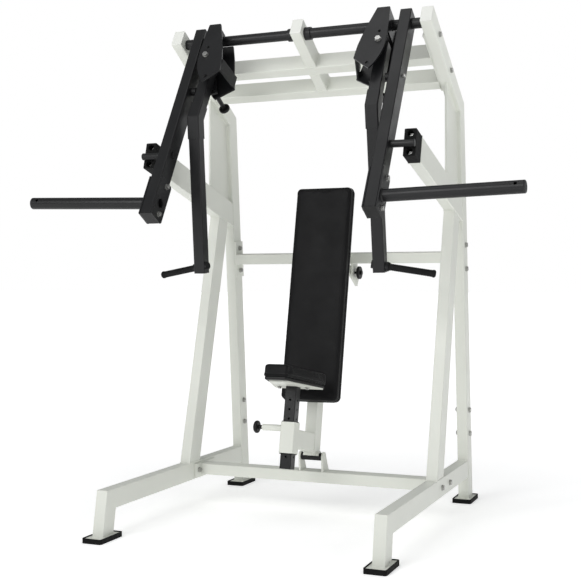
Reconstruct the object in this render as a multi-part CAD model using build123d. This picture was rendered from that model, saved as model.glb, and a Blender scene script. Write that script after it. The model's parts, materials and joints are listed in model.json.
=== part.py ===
"""Plate-loaded iso-lateral chest press machine, in millimetres.

X is the machine's width (+X is the user's left), -Y is the way the user faces and presses, +Z is up.
The origin is on the floor, in the middle of the footprint. The left half (-X) mirrors the right half (+X).
"""

import math
import os

from build123d import *

os.makedirs("parts", exist_ok=True)

# ---------------------------------------------------------------- driving dimensions
SIDE_X = 580.0          # middle plane of each side frame
TUBE_WIDE = 50.0        # frame tube, across the machine
TUBE_DEEP = 80.0        # frame tube, in the plane of the side frame
LEG_DEEP = 100.0        # diagonal leg tube
STOP_DEEP = 110.0       # stop arm tube
WALL = 3.0
CORNER = 4.0            # outer corner radius of the tubes
PLATE = 8.0             # welded and bolted plates

FOOT_LONG, FOOT_WIDE = 165.0, 88.0
FOOT_HIGH = 20.0        # rubber boot, over its lip
FOOT_FLOOR = 10.0       # rubber under the steel plate
FOOT_PLATE = 6.0
FOOT_LIP = 4.0
STAND_Z = FOOT_FLOOR + FOOT_PLATE
FOOT_FRONT = 737.0      # front and back ends of the footprint

POST_FRONT_Y, POST_LEAN = -692.0, 10.5      # front post: front face at its foot, foot forward
RAIL_Z0, RAIL_Z1 = 116.0, 196.0
UPRIGHT_Y, UPRIGHT_LEAN = 604.0, 5.0        # upright: front face at the rail's top, head forward
HEAD_ANGLE = 30.0                           # head tubes rise forward at this angle
HEAD_Y, HEAD_Z = -46.0, 2098.0              # lower corner of the head tube's end
BRACE_ANGLE = 15.0                          # leg leans back and stop arm rises by the same angle
STOP_Y, STOP_Z = 498.0, 1306.0              # a point on the stop arm's underside
STOP_END_Y, STOP_END_Z = -200.0, 1549.0     # middle of the stop arm's front end
LEG_Y, LEG_Z = 346.0, 1341.0                # a point on the leg's front face
GUSSET_Y = 289.0

FRONT_BAR_D, REAR_BAR_D, BAR_THICK = 220.0, 380.0, 50.0
HEAD_PLATE_D0, HEAD_PLATE_D1 = 85.0, 445.0
HEAD_BOLTS_D = (125.0, 355.0)
LOW_BAR_Y0, LOW_BAR_Y1, LOW_BAR_Z0, LOW_BAR_Z1 = 140.0, 220.0, 131.0, 181.0
LOW_BOLTS_Y = (117.0, 250.0)
MID_BAR_Z, SPARE_Z, BOLT_PITCH = 1143.0, 374.0, 110.0

SHAFT_D, SHAFT_E = 47.0, 40.0               # shaft centre, from the head tube's end and underside
SHAFT_R, SLEEVE_R = 15.0, 22.5
RUNNING = 0.05
END_GAP = 1.0
LEVER_TILT = 30.0
LEVER_X0, LEVER_X1 = 457.0, 507.0
LEVER_TOP, LEVER_END = -45.0, 943.0
HORN_U, HORN_R, HORN_TIP = 873.5, 25.0, 1059.0
HORN_SWEEP, HORN_RISE = 3.7, 1.3
SPIGOT_R, HORN_COLLAR_R, HORN_COLLAR = 22.0, 29.0, 6.0
PEG_U, PEG_R, PEG_INSIDE, PEG_TIP = 628.0, 15.0, 449.0, 605.0
HORN_PLATE, HORN_PLATE_U0, HORN_PLATE_V = 6.0, 762.0, 50.0
HORN_BOLTS_U, HORN_BOLTS_V = (785.0, 922.0), 10.0
BUFFER_U, BUFFER_BOLT_R = 283.0, 5.0

YOKE_FRONT, YOKE_BACK = -70.0, 60.0
YOKE_CORNER, REAR_CORNER, WEB_HIGH = (305.0, 228.0), (283.0, 238.0), 61.0
PIVOT_X, PIVOT_U, PIVOT_R = 397.0, 137.0, 7.0
ARM_X, ARM_V, ARM_TOP, ARM_BEND = 399.0, 2.0, 108.0, 433.0
ARM_WIDE, ARM_BACK_LEAN, ARM_LOW = 50.0, 6.4, 668.0
ARM_SPLAY = 0.7
SLEEVE_OVER, SLEEVE_UP, SLEEVE_DOWN = 3.0, 70.0, 88.0
GRIP_R, GRIP_LONG, GRIP_SWEEP, GRIP_DROP, GRIP_UP = 14.5, 206.0, 12.0, 9.5, 24.0
INDEX_R, INDEX_HOLE, INDEX_STEP, INDEX_THICK = 125.0, 6.4, 8.0, 10.0
INDEX_SPAN = (-13.0, 20.0)
PULL_X, PULL_U = 370.0, 259.0
PIN_R = 6.0

SEAT_LEAN = 12.0
PIVOT_Y, PIVOT_Z, SEAT_PIVOT_R = 160.0, 245.0, 12.0
SEAT_POST_Y, SEAT_POST_Z0, SEAT_POST_Z1, SEAT_TUBE = -289.0, -71.0, 277.0, 50.0
SLIDE_GAP = 0.3
SEAT_SLEEVE, SEAT_SLEEVE_Z0, SEAT_SLEEVE_Z1 = 64.0, -6.0, 125.0
SEAT_PIN_Z, SEAT_PITCH = 99.0, 40.0
POST_HOLE_R, PIN_NOSE_R, BUSH_LIP = 5.0, 4.5, 4.0
BACK_POST_Y0, BACK_POST_Y1, BACK_POST_Z1 = -51.0, 29.0, 1100.0
LINK_Z0, LINK_Z1 = 19.0, 99.0
BACK_PAD_HALF, BACK_PAD_THICK, BACK_PAD_Z0, BACK_PAD_Z1 = 136.0, 56.0, 237.0, 1228.0
SEAT_FRONT, SEAT_REAR, SEAT_FRONT_HALF, SEAT_REAR_HALF = -498.0, -205.0, 51.0, 120.0
SEAT_PLATE_THICK, SEAT_PAD_THICK = 6.0, 64.0
QUADRANT_R, QUADRANT_DEEP, QUADRANT_SWING = 919.0, 40.0, 20.0
QUADRANT_X0, QUADRANT_X1, CHEEK_X0, CHEEK_X1 = 40.0, 52.0, 56.0, 64.0
QUADRANT_ANGLE, QUADRANT_PITCH = 25.9, 2.0   # the tilt pin's angle behind the vertical, and the hole spacing
QUADRANT_HOLE_R = 6.5
BIG = 4000.0


# ---------------------------------------------------------------- helpers
def sin(deg):
    return math.sin(math.radians(deg))


def cos(deg):
    return math.cos(math.radians(deg))


def block(x0, x1, y0, y1, z0, z1):
    """Box between two opposite corners."""
    return Pos((x0 + x1) / 2, (y0 + y1) / 2, (z0 + z1) / 2) * Box(x1 - x0, y1 - y0, z1 - z0)


def rod(axis, centre, r, a, b):
    """Cylinder along X, Y or Z from a to b; centre holds the other two coordinates in order."""
    lie = {"X": Rot(Y=90), "Y": Rot(X=-90), "Z": Rot()}[axis]
    p, q = centre
    start = {"X": (a, p, q), "Y": (p, a, q), "Z": (p, q, a)}[axis]
    return Pos(*start) * (lie * Cylinder(r, b - a, align=(Align.CENTER, Align.CENTER, Align.MIN)))


def tube(wide, deep, z0, z1, wall=WALL, corner=CORNER):
    """Rounded rectangular tube along local Z, wide along local X and deep along local Y."""
    section = RectangleRounded(wide, deep, corner)
    section -= RectangleRounded(wide - 2 * wall, deep - 2 * wall, max(corner - wall, 0.8))
    return Pos(0, 0, z0) * extrude(section, z1 - z0)


def mirrored(shape):
    return mirror(shape, about=Plane.YZ)


def line(point, direction):
    """A straight line in the side plane, as (point, unit direction), each (y, z)."""
    size = math.hypot(*direction)
    return point, (direction[0] / size, direction[1] / size)


def beside(a, distance):
    """The line moved sideways, to the left of its direction."""
    (y, z), (dy, dz) = a
    return (y - dz * distance, z + dy * distance), (dy, dz)


def meet(a, b):
    """Where two lines of the side plane cross."""
    (ay, az), (ady, adz) = a
    (by, bz), (bdy, bdz) = b
    t = ((by - ay) * bdz - (bz - az) * bdy) / (ady * bdz - adz * bdy)
    return ay + t * ady, az + t * adz


def trim(shape, through, onto):
    """Cuts away all that lies past the plane through the (y, z) line, on the side that onto points to."""
    (y, z), (dy, dz) = through
    normal = (0, -dz, dy) if -dz * onto[0] + dy * onto[1] > 0 else (0, dz, -dy)
    past = Plane(origin=(0, y, z), x_dir=(1, 0, 0), z_dir=normal)
    return shape - past * Box(BIG, BIG, BIG, align=(Align.CENTER, Align.CENTER, Align.MIN))


def member(centre, deep, x_mid, wide=TUBE_WIDE, reach=BIG / 2):
    """A long frame tube along a line of the side plane, to be trimmed at both ends."""
    (y, z), (dy, dz) = centre
    frame = Plane(origin=(x_mid, y, z), x_dir=(1, 0, 0), z_dir=(0, dy, dz))
    return frame * tube(wide, deep, -reach, reach)


def side_prism(points, x0, x1):
    """Flat plate of a (y, z) outline, from x0 to x1."""
    face = Plane(origin=(x0, 0, 0), x_dir=(0, 1, 0), z_dir=(1, 0, 0)) * make_face(Polyline(*points, close=True))
    return extrude(face, x1 - x0)


def hexagon(across, thick):
    return extrude(RegularPolygon(across / 2, 6, major_radius=False), thick)


def bolt(length, r=6.0, across=19.0, head=8.0, washer=12.5, nut=True):
    """Hex bolt along local Z: head and washer below 0, the clamped length, then a washer and nut."""
    shape = Pos(0, 0, -2.5 - head) * chamfer(hexagon(across, head).faces().sort_by(Axis.Z)[0].edges(), 0.8)
    shape += Pos(0, 0, -2.5) * extrude(Circle(washer), 2.5)
    tail = 14.0 if nut else 0.0
    shape += extrude(Circle(r), length + tail)
    if nut:
        shape += Pos(0, 0, length) * extrude(Circle(washer), 2.5)
        shape += Pos(0, 0, length + 2.5) * hexagon(across, 9.0)
    return shape


def bolt_x(x, y, z, length, nut=True):
    """Bolt with its head on the outer side, pointing towards the middle of the machine, and its mirror."""
    right = Pos(x, y, z) * (Rot(Y=-90) * bolt(length, nut=nut))
    return [right, mirrored(right)]


def knob(r, thick):
    """Mushroom knob along local Z, from its neck at 0."""
    shape = extrude(Circle(r), thick)
    shape = fillet(shape.edges().sort_by(Axis.Z)[-1], thick * 0.55)
    return fillet(shape.edges().sort_by(Axis.Z)[0], thick * 0.3)


parts = {}


def save(name, *shapes):
    parts[name] = shapes[0] if len(shapes) == 1 else Compound(children=list(shapes))


def save_pair(name, right):
    save(name + "_right", right)
    save(name + "_left", mirrored(right))


# ---------------------------------------------------------------- side frames
BOLT_HOLE = 6.5
post_front = line((POST_FRONT_Y, STAND_Z), (sin(POST_LEAN), cos(POST_LEAN)))
post_back = beside(post_front, -TUBE_DEEP)
rail_top = line((0, RAIL_Z1), (1, 0))
rail_bottom = line((0, RAIL_Z0), (1, 0))
upright_front = line((UPRIGHT_Y, RAIL_Z1), (-sin(UPRIGHT_LEAN), cos(UPRIGHT_LEAN)))
upright_back = beside(upright_front, -TUBE_DEEP)
upright_mid = beside(upright_front, -TUBE_DEEP / 2)
head_low = line((HEAD_Y, HEAD_Z), (cos(HEAD_ANGLE), -sin(HEAD_ANGLE)))
head_high = beside(head_low, TUBE_DEEP)
stop_low = line((STOP_Y, STOP_Z), (-cos(BRACE_ANGLE), sin(BRACE_ANGLE)))
stop_high = beside(stop_low, -STOP_DEEP)
leg_front = line((LEG_Y, LEG_Z), (sin(BRACE_ANGLE), cos(BRACE_ANGLE)))
post_mitre = line(meet(post_front, rail_top), tuple(
    b - a for a, b in zip(meet(post_front, rail_top), meet(post_back, rail_bottom))))
head_mitre = line(meet(upright_front, head_low), tuple(
    b - a for a, b in zip(meet(upright_front, head_low), meet(upright_back, head_high))))
ground = line((0, STAND_Z), (1, 0))
mid_bolts = [MID_BAR_Z + s * BOLT_PITCH / 2 for s in (-1, 1)]
spare_bolts = [SPARE_Z + s * BOLT_PITCH / 2 for s in (-1, 1)]

front_post = member(beside(post_front, -TUBE_DEEP / 2), TUBE_DEEP, SIDE_X)
front_post = trim(trim(front_post, ground, (0, -1)), post_mitre, (1, 1))
save("front_posts", front_post, mirrored(front_post))

rail = member(line((0, (RAIL_Z0 + RAIL_Z1) / 2), (1, 0)), TUBE_DEEP, SIDE_X)
rail = trim(trim(rail, post_mitre, (-1, -1)), upright_front, (1, 0))
for y in LOW_BOLTS_Y:
    rail -= rod("X", (y, (RAIL_Z0 + RAIL_Z1) / 2), BOLT_HOLE, 500, 660)
save_pair("base_rail", rail)

upright = member(upright_mid, TUBE_DEEP, SIDE_X)
upright = trim(trim(upright, ground, (0, -1)), head_mitre, (-1, 1))
for z in mid_bolts + spare_bolts:
    upright -= rod("X", (meet(upright_mid, line((0, z), (1, 0)))[0], z), BOLT_HOLE, 500, 660)
save_pair("rear_upright", upright)

head_end = line((HEAD_Y, HEAD_Z), (sin(HEAD_ANGLE), cos(HEAD_ANGLE)))
HEAD = Plane(origin=(0, HEAD_Y, HEAD_Z), x_dir=(1, 0, 0), z_dir=(0, sin(HEAD_ANGLE), cos(HEAD_ANGLE)))
head_tube = trim(trim(member(beside(head_low, TUBE_DEEP / 2), TUBE_DEEP, SIDE_X), head_end, (-1, 0)),
                 head_mitre, (1, -1))
for d in HEAD_BOLTS_D:
    head_tube -= HEAD * rod("X", (d, TUBE_DEEP / 2), BOLT_HOLE, 500, 660)
save_pair("head_tube", head_tube)

leg = member(beside(leg_front, -LEG_DEEP / 2), LEG_DEEP, SIDE_X)
save_pair("diagonal_leg", trim(trim(leg, rail_top, (0, -1)), stop_low, (0, 1)))

STOP = Plane(origin=(0, STOP_END_Y, STOP_END_Z), x_dir=(1, 0, 0), z_dir=(0, sin(BRACE_ANGLE), cos(BRACE_ANGLE)))
stop_end = line((STOP_END_Y, STOP_END_Z), (sin(BRACE_ANGLE), cos(BRACE_ANGLE)))
BUMPER_BOLT_Z = 38.0
stop_arm = trim(trim(member(beside(stop_low, -STOP_DEEP / 2), STOP_DEEP, SIDE_X), stop_end, (-1, 0)),
                upright_front, (1, 0))
bumper_plate = block(SIDE_X - 26, SIDE_X + 26, -PLATE, 0, -58, 58)
for z in (-BUMPER_BOLT_Z, BUMPER_BOLT_Z):
    bumper_plate -= rod("Y", (SIDE_X, z), BOLT_HOLE, -PLATE, 0)
save_pair("stop_arm", stop_arm + STOP * bumper_plate)

gusset = side_prism([
    meet(head_low, line((GUSSET_Y, 0), (0, 1))), meet(head_low, upright_front),
    meet(stop_high, upright_front), meet(stop_high, line((GUSSET_Y, 0), (0, 1)))],
    SIDE_X - PLATE / 2, SIDE_X + PLATE / 2)
save("gusset_plates", gusset, mirrored(gusset))

foot_middles = [(sx * SIDE_X, sy * (FOOT_FRONT - FOOT_LONG / 2)) for sx in (-1, 1) for sy in (-1, 1)]
boot = extrude(RectangleRounded(FOOT_WIDE, FOOT_LONG, 10), FOOT_HIGH)
boot -= Pos(0, 0, FOOT_FLOOR) * extrude(RectangleRounded(FOOT_WIDE - 2 * FOOT_LIP, FOOT_LONG - 2 * FOOT_LIP, 6),
                                        FOOT_HIGH)
save("foot_boots", *[Pos(x, y, 0) * boot for x, y in foot_middles])
sole = extrude(RectangleRounded(FOOT_WIDE - 2 * FOOT_LIP, FOOT_LONG - 2 * FOOT_LIP, 6), FOOT_PLATE)
save("foot_plates", *[Pos(x, y, FOOT_FLOOR) * sole for x, y in foot_middles])

# ---------------------------------------------------------------- crossbars
INNER_X = SIDE_X - TUBE_WIDE / 2
BAR_X = INNER_X - PLATE


def crossbar(deep, high):
    """Cross tube along X between the end plates, centred on its own axis."""
    return Rot(Y=90) * tube(high, deep, -BAR_X, BAR_X)


low_mid_y, low_mid_z = (LOW_BAR_Y0 + LOW_BAR_Y1) / 2, (LOW_BAR_Z0 + LOW_BAR_Z1) / 2
low_bar = Pos(0, low_mid_y, low_mid_z) * crossbar(LOW_BAR_Y1 - LOW_BAR_Y0, LOW_BAR_Z1 - LOW_BAR_Z0)
low_plate = block(BAR_X, INNER_X, 84, 284, low_mid_z - 30, low_mid_z + 30)
for y in LOW_BOLTS_Y:
    low_plate -= rod("X", (y, low_mid_z), BOLT_HOLE, BAR_X, INNER_X)
EAR_X0, EAR_X1, EAR_R = 50.0, 58.0, 22.0
ear = side_prism([(142, LOW_BAR_Z1), (216, LOW_BAR_Z1), (PIVOT_Y + EAR_R, PIVOT_Z), (PIVOT_Y - EAR_R, PIVOT_Z)],
                 EAR_X0, EAR_X1)
ear += rod("X", (PIVOT_Y, PIVOT_Z), EAR_R, EAR_X0, EAR_X1)
ear -= rod("X", (PIVOT_Y, PIVOT_Z), SEAT_PIVOT_R + RUNNING, EAR_X0, EAR_X1)
save("bottom_crossbar", low_bar + low_plate + mirrored(low_plate) + ear + mirrored(ear))

mid_y = meet(upright_mid, line((0, MID_BAR_Z), (1, 0)))[0]
UPRIGHT = Plane(origin=(0, mid_y, MID_BAR_Z), x_dir=(1, 0, 0), z_dir=(0, -sin(UPRIGHT_LEAN), cos(UPRIGHT_LEAN)))
mid_bar = crossbar(TUBE_DEEP, TUBE_WIDE)
mid_plate = block(BAR_X, INNER_X, -40, 40, -88, 88)
for z in (-BOLT_PITCH / 2, BOLT_PITCH / 2):
    mid_plate -= rod("X", (0, z / cos(UPRIGHT_LEAN)), BOLT_HOLE, BAR_X, INNER_X)
cheek = block(CHEEK_X0, CHEEK_X1, -40, 40, -96, -TUBE_WIDE / 2)
cheek = fillet(cheek.edges().filter_by(Axis.X).group_by(Axis.Z)[0], 12)
quadrant_y = QUADRANT_R * sin(QUADRANT_ANGLE) + PIVOT_Y
quadrant_z = QUADRANT_R * cos(QUADRANT_ANGLE) + PIVOT_Z
mid_frame = UPRIGHT * (mid_bar + mid_plate + mirrored(mid_plate) + cheek + mirrored(cheek))
mid_frame -= rod("X", (quadrant_y, quadrant_z), PIN_R + RUNNING, 0, 120)
save("middle_crossbar", mid_frame)

head_bar = Pos(0, BAR_THICK / 2, TUBE_DEEP / 2) * crossbar(BAR_THICK, TUBE_DEEP)
save("head_crossbars", *[HEAD * (Pos(0, d, 0) * head_bar) for d in (FRONT_BAR_D, REAR_BAR_D)])
side_plate = block(BAR_X, INNER_X, HEAD_PLATE_D0, HEAD_PLATE_D1, 4, TUBE_DEEP - 4)
for d in HEAD_BOLTS_D:
    side_plate -= rod("X", (d, TUBE_DEEP / 2), BOLT_HOLE, BAR_X, INNER_X)
side_plate = HEAD * side_plate
save("head_side_plates", side_plate, mirrored(side_plate))
centre = Pos(0, 0, TUBE_DEEP / 2) * (Rot(X=-90) * tube(TUBE_WIDE, TUBE_DEEP, 0, FRONT_BAR_D))
centre -= rod("X", (SHAFT_D, SHAFT_E), SHAFT_R + RUNNING, -40, 40)
strut = Pos(0, 0, TUBE_DEEP / 2) * (
    Rot(X=-90) * tube(TUBE_WIDE, TUBE_DEEP, FRONT_BAR_D + BAR_THICK, REAR_BAR_D))
save("centre_bracket", HEAD * centre, HEAD * strut)

CAP = 5.0
cap = extrude(RectangleRounded(TUBE_WIDE, TUBE_DEEP, CORNER), CAP)
cap = fillet(cap.faces().sort_by(Axis.Z)[0].edges(), 1.5)
cap = HEAD * (Pos(0, -CAP, TUBE_DEEP / 2) * (Rot(X=-90) * cap))
save("tube_caps", Pos(SIDE_X, 0, 0) * cap, Pos(-SIDE_X, 0, 0) * cap, cap)

# ---------------------------------------------------------------- shaft
shaft_y = HEAD_Y + SHAFT_D * cos(HEAD_ANGLE) + SHAFT_E * sin(HEAD_ANGLE)
shaft_z = HEAD_Z - SHAFT_D * sin(HEAD_ANGLE) + SHAFT_E * cos(HEAD_ANGLE)
YOKE_X0 = 326.0
save("main_shaft", rod("X", (shaft_y, shaft_z), SHAFT_R, -INNER_X, INNER_X))


def spacer(x0, x1, r):
    ring = rod("X", (shaft_y, shaft_z), r, x0, x1)
    return ring - rod("X", (shaft_y, shaft_z), SHAFT_R + RUNNING, x0, x1)


COLLAR_R, COLLAR_X0, COLLAR_X1 = 28.0, TUBE_WIDE / 2, 53.0
spacers = [spacer(COLLAR_X0, COLLAR_X1, COLLAR_R), spacer(COLLAR_X1, YOKE_X0 - END_GAP, SLEEVE_R),
           spacer(LEVER_X1 + END_GAP, INNER_X, SLEEVE_R)]
save("shaft_spacers", *spacers, *[mirrored(s) for s in spacers])

# ---------------------------------------------------------------- weight levers
# In this frame X is across, Y runs down the lever from the shaft (u) and Z runs to its back (v).
LEVER = Plane(origin=(0, shaft_y, shaft_z), x_dir=(1, 0, 0), z_dir=(0, cos(LEVER_TILT), -sin(LEVER_TILT)))
lever_mid = (LEVER_X0 + LEVER_X1) / 2
HALF_DEEP = TUBE_DEEP / 2

horn_axis = Plane(origin=(lever_mid, shaft_y - HORN_U * sin(LEVER_TILT), shaft_z - HORN_U * cos(LEVER_TILT)),
                  z_dir=(1, -math.tan(math.radians(HORN_SWEEP)), math.tan(math.radians(HORN_RISE))))
horn_in = lever_mid - LEVER_X0 + HORN_PLATE
horn_out = (HORN_TIP - lever_mid) / cos(HORN_SWEEP) / cos(HORN_RISE)
horn_bore = horn_axis * (Pos(0, 0, -horn_in - 60) * extrude(Circle(SPIGOT_R + 0.2), 200))
HORN_WALL, HORN_END = 5.0, 8.0
TIE_HOLE, TIE_HOLE_IN, TIE_HOLE_TURN = 6.5, 33.0, -30.0   # a hole for a tie, facing forward and up
shoulder = LEVER_X1 + HORN_PLATE - lever_mid
horn = Pos(0, 0, shoulder - 4) * extrude(Circle(HORN_R), horn_out - shoulder + 4)
horn = fillet(horn.edges().sort_by(Axis.Z)[-1], 4)
weld = Cone(HORN_COLLAR_R, HORN_R, HORN_COLLAR, align=(Align.CENTER, Align.CENTER, Align.MIN))
horn += Pos(0, 0, shoulder - 4) * extrude(Circle(HORN_COLLAR_R), 5) + Pos(0, 0, shoulder + 1) * weld
horn = horn_axis * horn - block(LEVER_X0, LEVER_X1 + HORN_PLATE, -1000, 1000, 1000, 2000)
horn += horn_axis * (Pos(0, 0, -horn_in) * extrude(Circle(SPIGOT_R), horn_in + shoulder + 10))
horn -= horn_axis * (Pos(0, 0, -horn_in) * extrude(Circle(HORN_R - HORN_WALL), horn_in + horn_out - HORN_END))
tie_hole = Rot(Y=-90) * extrude(Circle(TIE_HOLE), HORN_R + 5)
horn -= horn_axis * (Pos(0, 0, horn_out - TIE_HOLE_IN) * (Rot(Z=TIE_HOLE_TURN) * tie_hole))
save_pair("weight_horn", horn)

lever = Pos(lever_mid, 0, 0) * (Rot(X=-90) * tube(TUBE_WIDE, TUBE_DEEP, LEVER_TOP, LEVER_END))
lever -= rod("X", (0, 0), SLEEVE_R + RUNNING, 440, 520)
lever -= rod("X", (PEG_U, 0), PEG_R + RUNNING, 440, 520)
lever -= rod("X", (BUFFER_U, 0), BUFFER_BOLT_R + 0.3, 440, 520)
for u in HORN_BOLTS_U:
    lever -= rod("X", (u, HORN_BOLTS_V), BOLT_HOLE, 440, 520)
save_pair("weight_lever", LEVER * lever - horn_bore)

lever_cap = extrude(RectangleRounded(TUBE_WIDE, TUBE_DEEP, CORNER), CAP)
top_cap = Pos(lever_mid, LEVER_TOP - CAP, 0) * (Rot(X=-90) * lever_cap)
end_cap = Pos(lever_mid, LEVER_END, 0) * (Rot(X=-90) * lever_cap)


def horn_plate(x0):
    plate = block(x0, x0 + HORN_PLATE, HORN_PLATE_U0, LEVER_END + CAP, -HALF_DEEP, HORN_PLATE_V)
    plate = fillet(plate.edges().filter_by(Axis.X).group_by(Axis.Z)[-1], 12)
    for u in HORN_BOLTS_U:
        plate -= rod("X", (u, HORN_BOLTS_V), BOLT_HOLE, x0, x0 + HORN_PLATE)
    return LEVER * plate - horn_bore


horn_plates = [horn_plate(LEVER_X1), horn_plate(LEVER_X0 - HORN_PLATE)]
save("horn_plates_right", *horn_plates)
save("horn_plates_left", *[mirrored(p) for p in horn_plates])

peg = rod("X", (PEG_U, 0), PEG_R, PEG_INSIDE, PEG_TIP)
save_pair("stop_peg", LEVER * chamfer(peg.edges().sort_by(Axis.X)[-1], 2))

lever_bolts = [Pos(LEVER_X1 + HORN_PLATE, u, HORN_BOLTS_V) * (Rot(Y=-90) * bolt(TUBE_WIDE + 2 * HORN_PLATE))
               for u in HORN_BOLTS_U]
BUFFER_R, BUFFER_LONG = 17.0, 24.0
buffer_bolt = bolt(TUBE_WIDE + 12, r=BUFFER_BOLT_R, across=16.0, head=6.5, washer=9.5, nut=False)
lever_bolts.append(Pos(LEVER_X1, BUFFER_U, 0) * (Rot(Y=-90) * buffer_bolt))
save("lever_bolts_right", *[LEVER * b for b in lever_bolts])
save("lever_bolts_left", *[mirrored(LEVER * b) for b in lever_bolts])
buffer = rod("X", (BUFFER_U, 0), BUFFER_R, LEVER_X0 - BUFFER_LONG, LEVER_X0)
buffer = fillet(buffer.edges().sort_by(Axis.X)[0], 3)
buffer -= rod("X", (BUFFER_U, 0), BUFFER_BOLT_R + RUNNING, LEVER_X0 - 12, LEVER_X0)
lever_plugs = [LEVER * piece for piece in (top_cap, end_cap, buffer)]
save("lever_plugs_right", *lever_plugs)
save("lever_plugs_left", *[mirrored(piece) for piece in lever_plugs])

# bumper blocks on the stop arms, just touched by the pegs at rest
peg_back = (shaft_y - PEG_U * sin(LEVER_TILT) - STOP_END_Y, shaft_z - PEG_U * cos(LEVER_TILT) - STOP_END_Z)
bumper_face = peg_back[0] * cos(BRACE_ANGLE) - peg_back[1] * sin(BRACE_ANGLE) + PEG_R + 0.3
bumper = block(SIDE_X - 25, SIDE_X + 25, bumper_face, -PLATE, -58, 58)
bumper = fillet(bumper.edges().filter_by(Axis.Y), 4)
COUNTERBORE_R, COUNTERBORE_DEEP = 13.5, 34.0
for z in (-BUMPER_BOLT_Z, BUMPER_BOLT_Z):
    bumper -= rod("Y", (SIDE_X, z), COUNTERBORE_R, bumper_face, bumper_face + COUNTERBORE_DEEP)
    bumper -= rod("Y", (SIDE_X, z), BOLT_HOLE, bumper_face, -PLATE)
save("bumper_blocks", STOP * bumper, mirrored(STOP * bumper))
bumper_bolts = [STOP * (Pos(SIDE_X, bumper_face + COUNTERBORE_DEEP, z) * (
    Rot(X=-90) * bolt(-bumper_face - COUNTERBORE_DEEP, washer=12.0)))
    for z in (-BUMPER_BOLT_Z, BUMPER_BOLT_Z)]

# ---------------------------------------------------------------- pivot yokes on the torque tubes
def yoke_plate(inner_edge, back_edge):
    """Plate across the machine: straight inner and back edges, joined by an arc at the outer foot."""
    straight = Polyline(*inner_edge, *back_edge)
    foot = ThreePointArc(back_edge[-1], (415, 224), inner_edge[0])
    face = make_face([*straight.edges(), foot.edge()])
    face = fillet(face.vertices().sort_by(Axis.Y)[:2], 4)
    return extrude(face, PLATE) - rod("Z", (PIVOT_X, PIVOT_U), PIVOT_R + RUNNING, 0, PLATE)


outer_edge = [(428, 34), (431, 90), (431, 140)]
front_plate = yoke_plate([(378, 288), YOKE_CORNER, (312, 160), (326, 95), (342, 35), (366, -43)],
                         [(422, -43), *outer_edge])
front_plate -= rod("Z", (396, 91), 6.5, 0, PLATE) + rod("Z", (PULL_X, PULL_U), 9.0, 0, PLATE)
rear_plate = yoke_plate([(368, 288), REAR_CORNER, (300, 169), (324, 64), (349, -18)], [(424, -18), *outer_edge])
rear_plate -= rod("Z", (PULL_X, PULL_U), PIN_R + RUNNING, 0, PLATE)
INNER_FRONT, INNER_BACK = YOKE_FRONT + PLATE, YOKE_BACK - PLATE
torque_tube = rod("X", (0, 0), SLEEVE_R, YOKE_X0, LEVER_X1)
yoke_cheeks = [block(372, 380, -36, 62, INNER_FRONT, 0) - torque_tube,
               block(412, 420, -43, 62, INNER_FRONT, INNER_BACK) - torque_tube]
torque_tube -= rod("X", (0, 0), SHAFT_R + RUNNING, YOKE_X0, LEVER_X1)
corner_shift = Vector(REAR_CORNER[0] - YOKE_CORNER[0], REAR_CORNER[1] - YOKE_CORNER[1], INNER_BACK - INNER_FRONT)
web_x, web_u = YOKE_CORNER[0] + 6, YOKE_CORNER[1] - 4
web = Pos(web_x, web_u - WEB_HIGH / 2, INNER_FRONT) * Rectangle(PLATE, WEB_HIGH)
web = extrude(web, corner_shift.length, dir=corner_shift)
BARREL_R, BARREL_LONG = 10.0, 68.0
barrel = rod("Z", (PULL_X, PULL_U), BARREL_R, YOKE_BACK, YOKE_BACK + BARREL_LONG)
barrel -= rod("Z", (PULL_X, PULL_U), PIN_R + RUNNING, YOKE_BACK, YOKE_BACK + BARREL_LONG)
yoke = [Pos(0, 0, YOKE_FRONT) * front_plate, Pos(0, 0, INNER_BACK) * rear_plate, *yoke_cheeks, torque_tube,
        web, barrel]
yoke = [LEVER * piece for piece in yoke]
save("pivot_yoke_right", *yoke)
save("pivot_yoke_left", *[mirrored(piece) for piece in yoke])

pivot_bolt = Pos(PIVOT_X, PIVOT_U, YOKE_FRONT) * bolt(
    YOKE_BACK - YOKE_FRONT, r=PIVOT_R, across=22.0, head=9.0, washer=13.0)
save_pair("pivot_bolt", LEVER * pivot_bolt)

KNOB_GAP = 20.0
pull_pin = rod("Z", (PULL_X, PULL_U), PIN_R, 40, YOKE_BACK + BARREL_LONG + KNOB_GAP)
pull_pin += rod("Z", (PULL_X, PULL_U), 8.5, YOKE_BACK + BARREL_LONG + 4, YOKE_BACK + BARREL_LONG + KNOB_GAP)
pull_pin += Pos(PULL_X, PULL_U, YOKE_BACK + BARREL_LONG + KNOB_GAP) * knob(25, 17)
save_pair("pull_pin", LEVER * pull_pin)

# ---------------------------------------------------------------- handle arms
bend = ARM_BACK_LEAN + LEVER_TILT
BEND_POINT = Plane(origin=(ARM_X, ARM_BEND, ARM_V), x_dir=(1, 0, 0), z_dir=(0, -sin(bend), cos(bend)))
MITRE = Plane(origin=(ARM_X, ARM_BEND, ARM_V), x_dir=(1, 0, 0), z_dir=(0, cos(bend / 2), sin(bend / 2)))
past_bend = MITRE * Box(400, 400, 400, align=(Align.CENTER, Align.CENTER, Align.MIN))
before_bend = MITRE * Box(400, 400, 400, align=(Align.CENTER, Align.CENTER, Align.MAX))


def bent_tube(side, up, down, wall, corner):
    """Square tube with a mitred bend: up along the lever's line, down along the lower arm."""
    upper = Pos(ARM_X, 0, ARM_V) * (Rot(X=-90) * tube(side, side, ARM_BEND - up, ARM_BEND + 60, wall, corner))
    lower = BEND_POINT * (Rot(X=-90) * tube(side, side, -60, down, wall, corner))
    return (upper - past_bend) + (lower - before_bend)


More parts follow.
